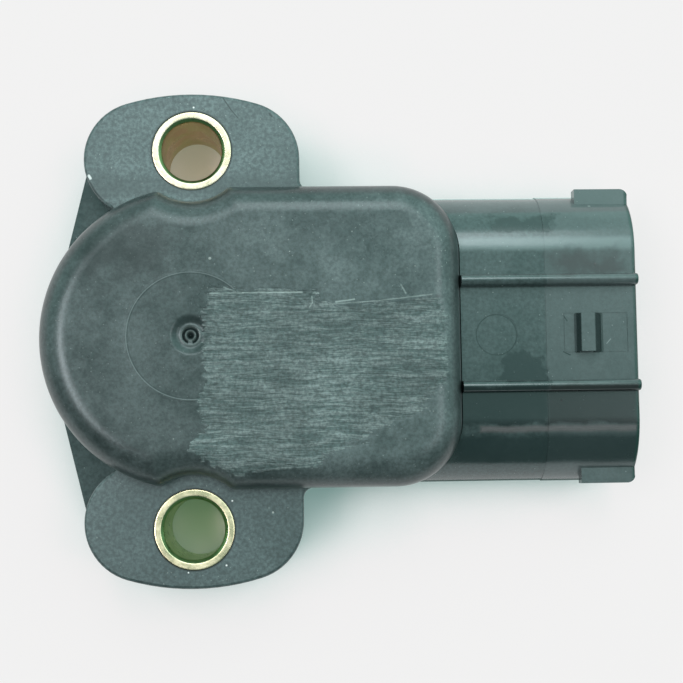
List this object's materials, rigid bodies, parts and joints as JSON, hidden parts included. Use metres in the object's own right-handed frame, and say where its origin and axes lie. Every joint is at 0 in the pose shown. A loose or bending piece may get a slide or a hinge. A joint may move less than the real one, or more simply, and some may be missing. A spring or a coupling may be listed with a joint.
{
  "type": "throttle position sensor",
  "caption": "Rotary throttle position sensor with two bushed mounting ears, a domed cover and a wide shrouded connector.",
  "frame": {"origin": "rotor axis on the mounting face", "axes": "+X towards the connector, +Z from the mounting face towards the cover"},
  "size_m": [0.0595, 0.0496, 0.0138],
  "materials": {
    "housing_plastic": "moulded glass-filled plastic, satin",
    "cover_plastic": "moulded glass-filled plastic, satin, ground in the middle",
    "bushing_steel": "yellow passivated zinc",
    "rotor_plastic": "moulded, natural colour",
    "seal_rubber": "smooth",
    "sealant": "cured bead",
    "spring_steel": "bright",
    "washer_bronze": "plain",
    "ceramic": "unglazed alumina",
    "resistor_ink": "printed carbon",
    "silver_ink": "printed",
    "contact_alloy": "spring strip",
    "tinned_brass": "tinned",
    "solder": "satin",
    "potting_resin": "cast"
  },
  "bodies": {
    "sensor_body": {"housing": "housing_plastic", "cover": "cover_plastic", "cover_sealant": "sealant", "upper_bushing": "bushing_steel", "lower_bushing": "bushing_steel", "return_spring": "spring_steel", "thrust_washer": "washer_bronze", "shaft_seal": "seal_rubber", "seal_retainer": "spring_steel", "flange_seal": "seal_rubber", "substrate": "ceramic", "resistance_track": "resistor_ink", "collector_track": "silver_ink", "idle_track": "silver_ink", "conductors": "silver_ink", "terminal_supply": "tinned_brass", "terminal_signal": "tinned_brass", "terminal_idle": "tinned_brass", "terminal_ground": "tinned_brass", "solder_joints": "solder", "terminal_potting": "potting_resin"},
    "rotor_group": {"rotor": "rotor_plastic", "wave_washer": "spring_steel", "signal_wiper": "contact_alloy", "idle_wiper": "contact_alloy"}
  },
  "joints": [
    {"name": "rotor_turn", "type": "hinge", "parent": "sensor_body", "child": "rotor_group", "pos_m": [0, 0, 0.005], "axis": [0, 0, 1], "range_deg": [0, 105], "stiffness_Nm_per_rad": 0.01, "springref_deg": -28.65, "deforming": ["return_spring"]}
  ]
}
